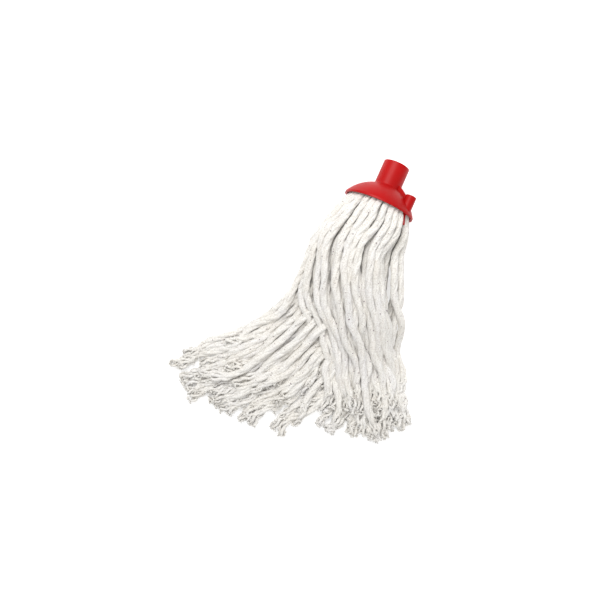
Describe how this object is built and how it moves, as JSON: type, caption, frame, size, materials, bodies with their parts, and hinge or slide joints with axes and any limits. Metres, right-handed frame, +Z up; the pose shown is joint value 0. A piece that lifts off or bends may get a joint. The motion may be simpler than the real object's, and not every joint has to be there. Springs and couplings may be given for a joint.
{
  "type": "string mop head",
  "caption": "Round string mop head: a red moulded dome cap with a threaded handle socket, holding a full skirt of loose white cotton yarns.",
  "frame": {"origin": "centre of the handle socket's mouth; the head lies on its side on a surface below", "axes": "+Y along the socket and out of its mouth, +Z up from the surface, +X across, the yarns run towards -Y"},
  "size_m": [0.2676, 0.3275, 0.0812],
  "materials": {
    "cap_plastic": "gloss",
    "clamp_plastic": "satin",
    "pin_plastic": "gloss",
    "cotton_yarn": "soft"
  },
  "bodies": {
    "skirt": {"lower_lock_1": "cotton_yarn", "lower_lock_2": "cotton_yarn", "lower_lock_3": "cotton_yarn", "lower_lock_4": "cotton_yarn", "lower_lock_5": "cotton_yarn", "lower_lock_6": "cotton_yarn", "lower_lock_7": "cotton_yarn", "lower_lock_8": "cotton_yarn", "upper_lock_1": "cotton_yarn", "upper_lock_2": "cotton_yarn", "upper_lock_3": "cotton_yarn", "upper_lock_4": "cotton_yarn", "upper_lock_5": "cotton_yarn", "upper_lock_6": "cotton_yarn", "upper_lock_7": "cotton_yarn", "upper_lock_8": "cotton_yarn"},
    "cap": {"cap": "cap_plastic", "yarn_clamp": "clamp_plastic", "retaining_pin_front": "pin_plastic", "retaining_pin_back": "pin_plastic", "yarn_crown": "cotton_yarn"}
  },
  "joints": [
    {"name": "neck_bend", "type": "hinge", "parent": "skirt", "child": "cap", "pos_m": [0, -0.0721, 0], "axis": [1, 0, 0], "range_deg": [0, 50]}
  ]
}
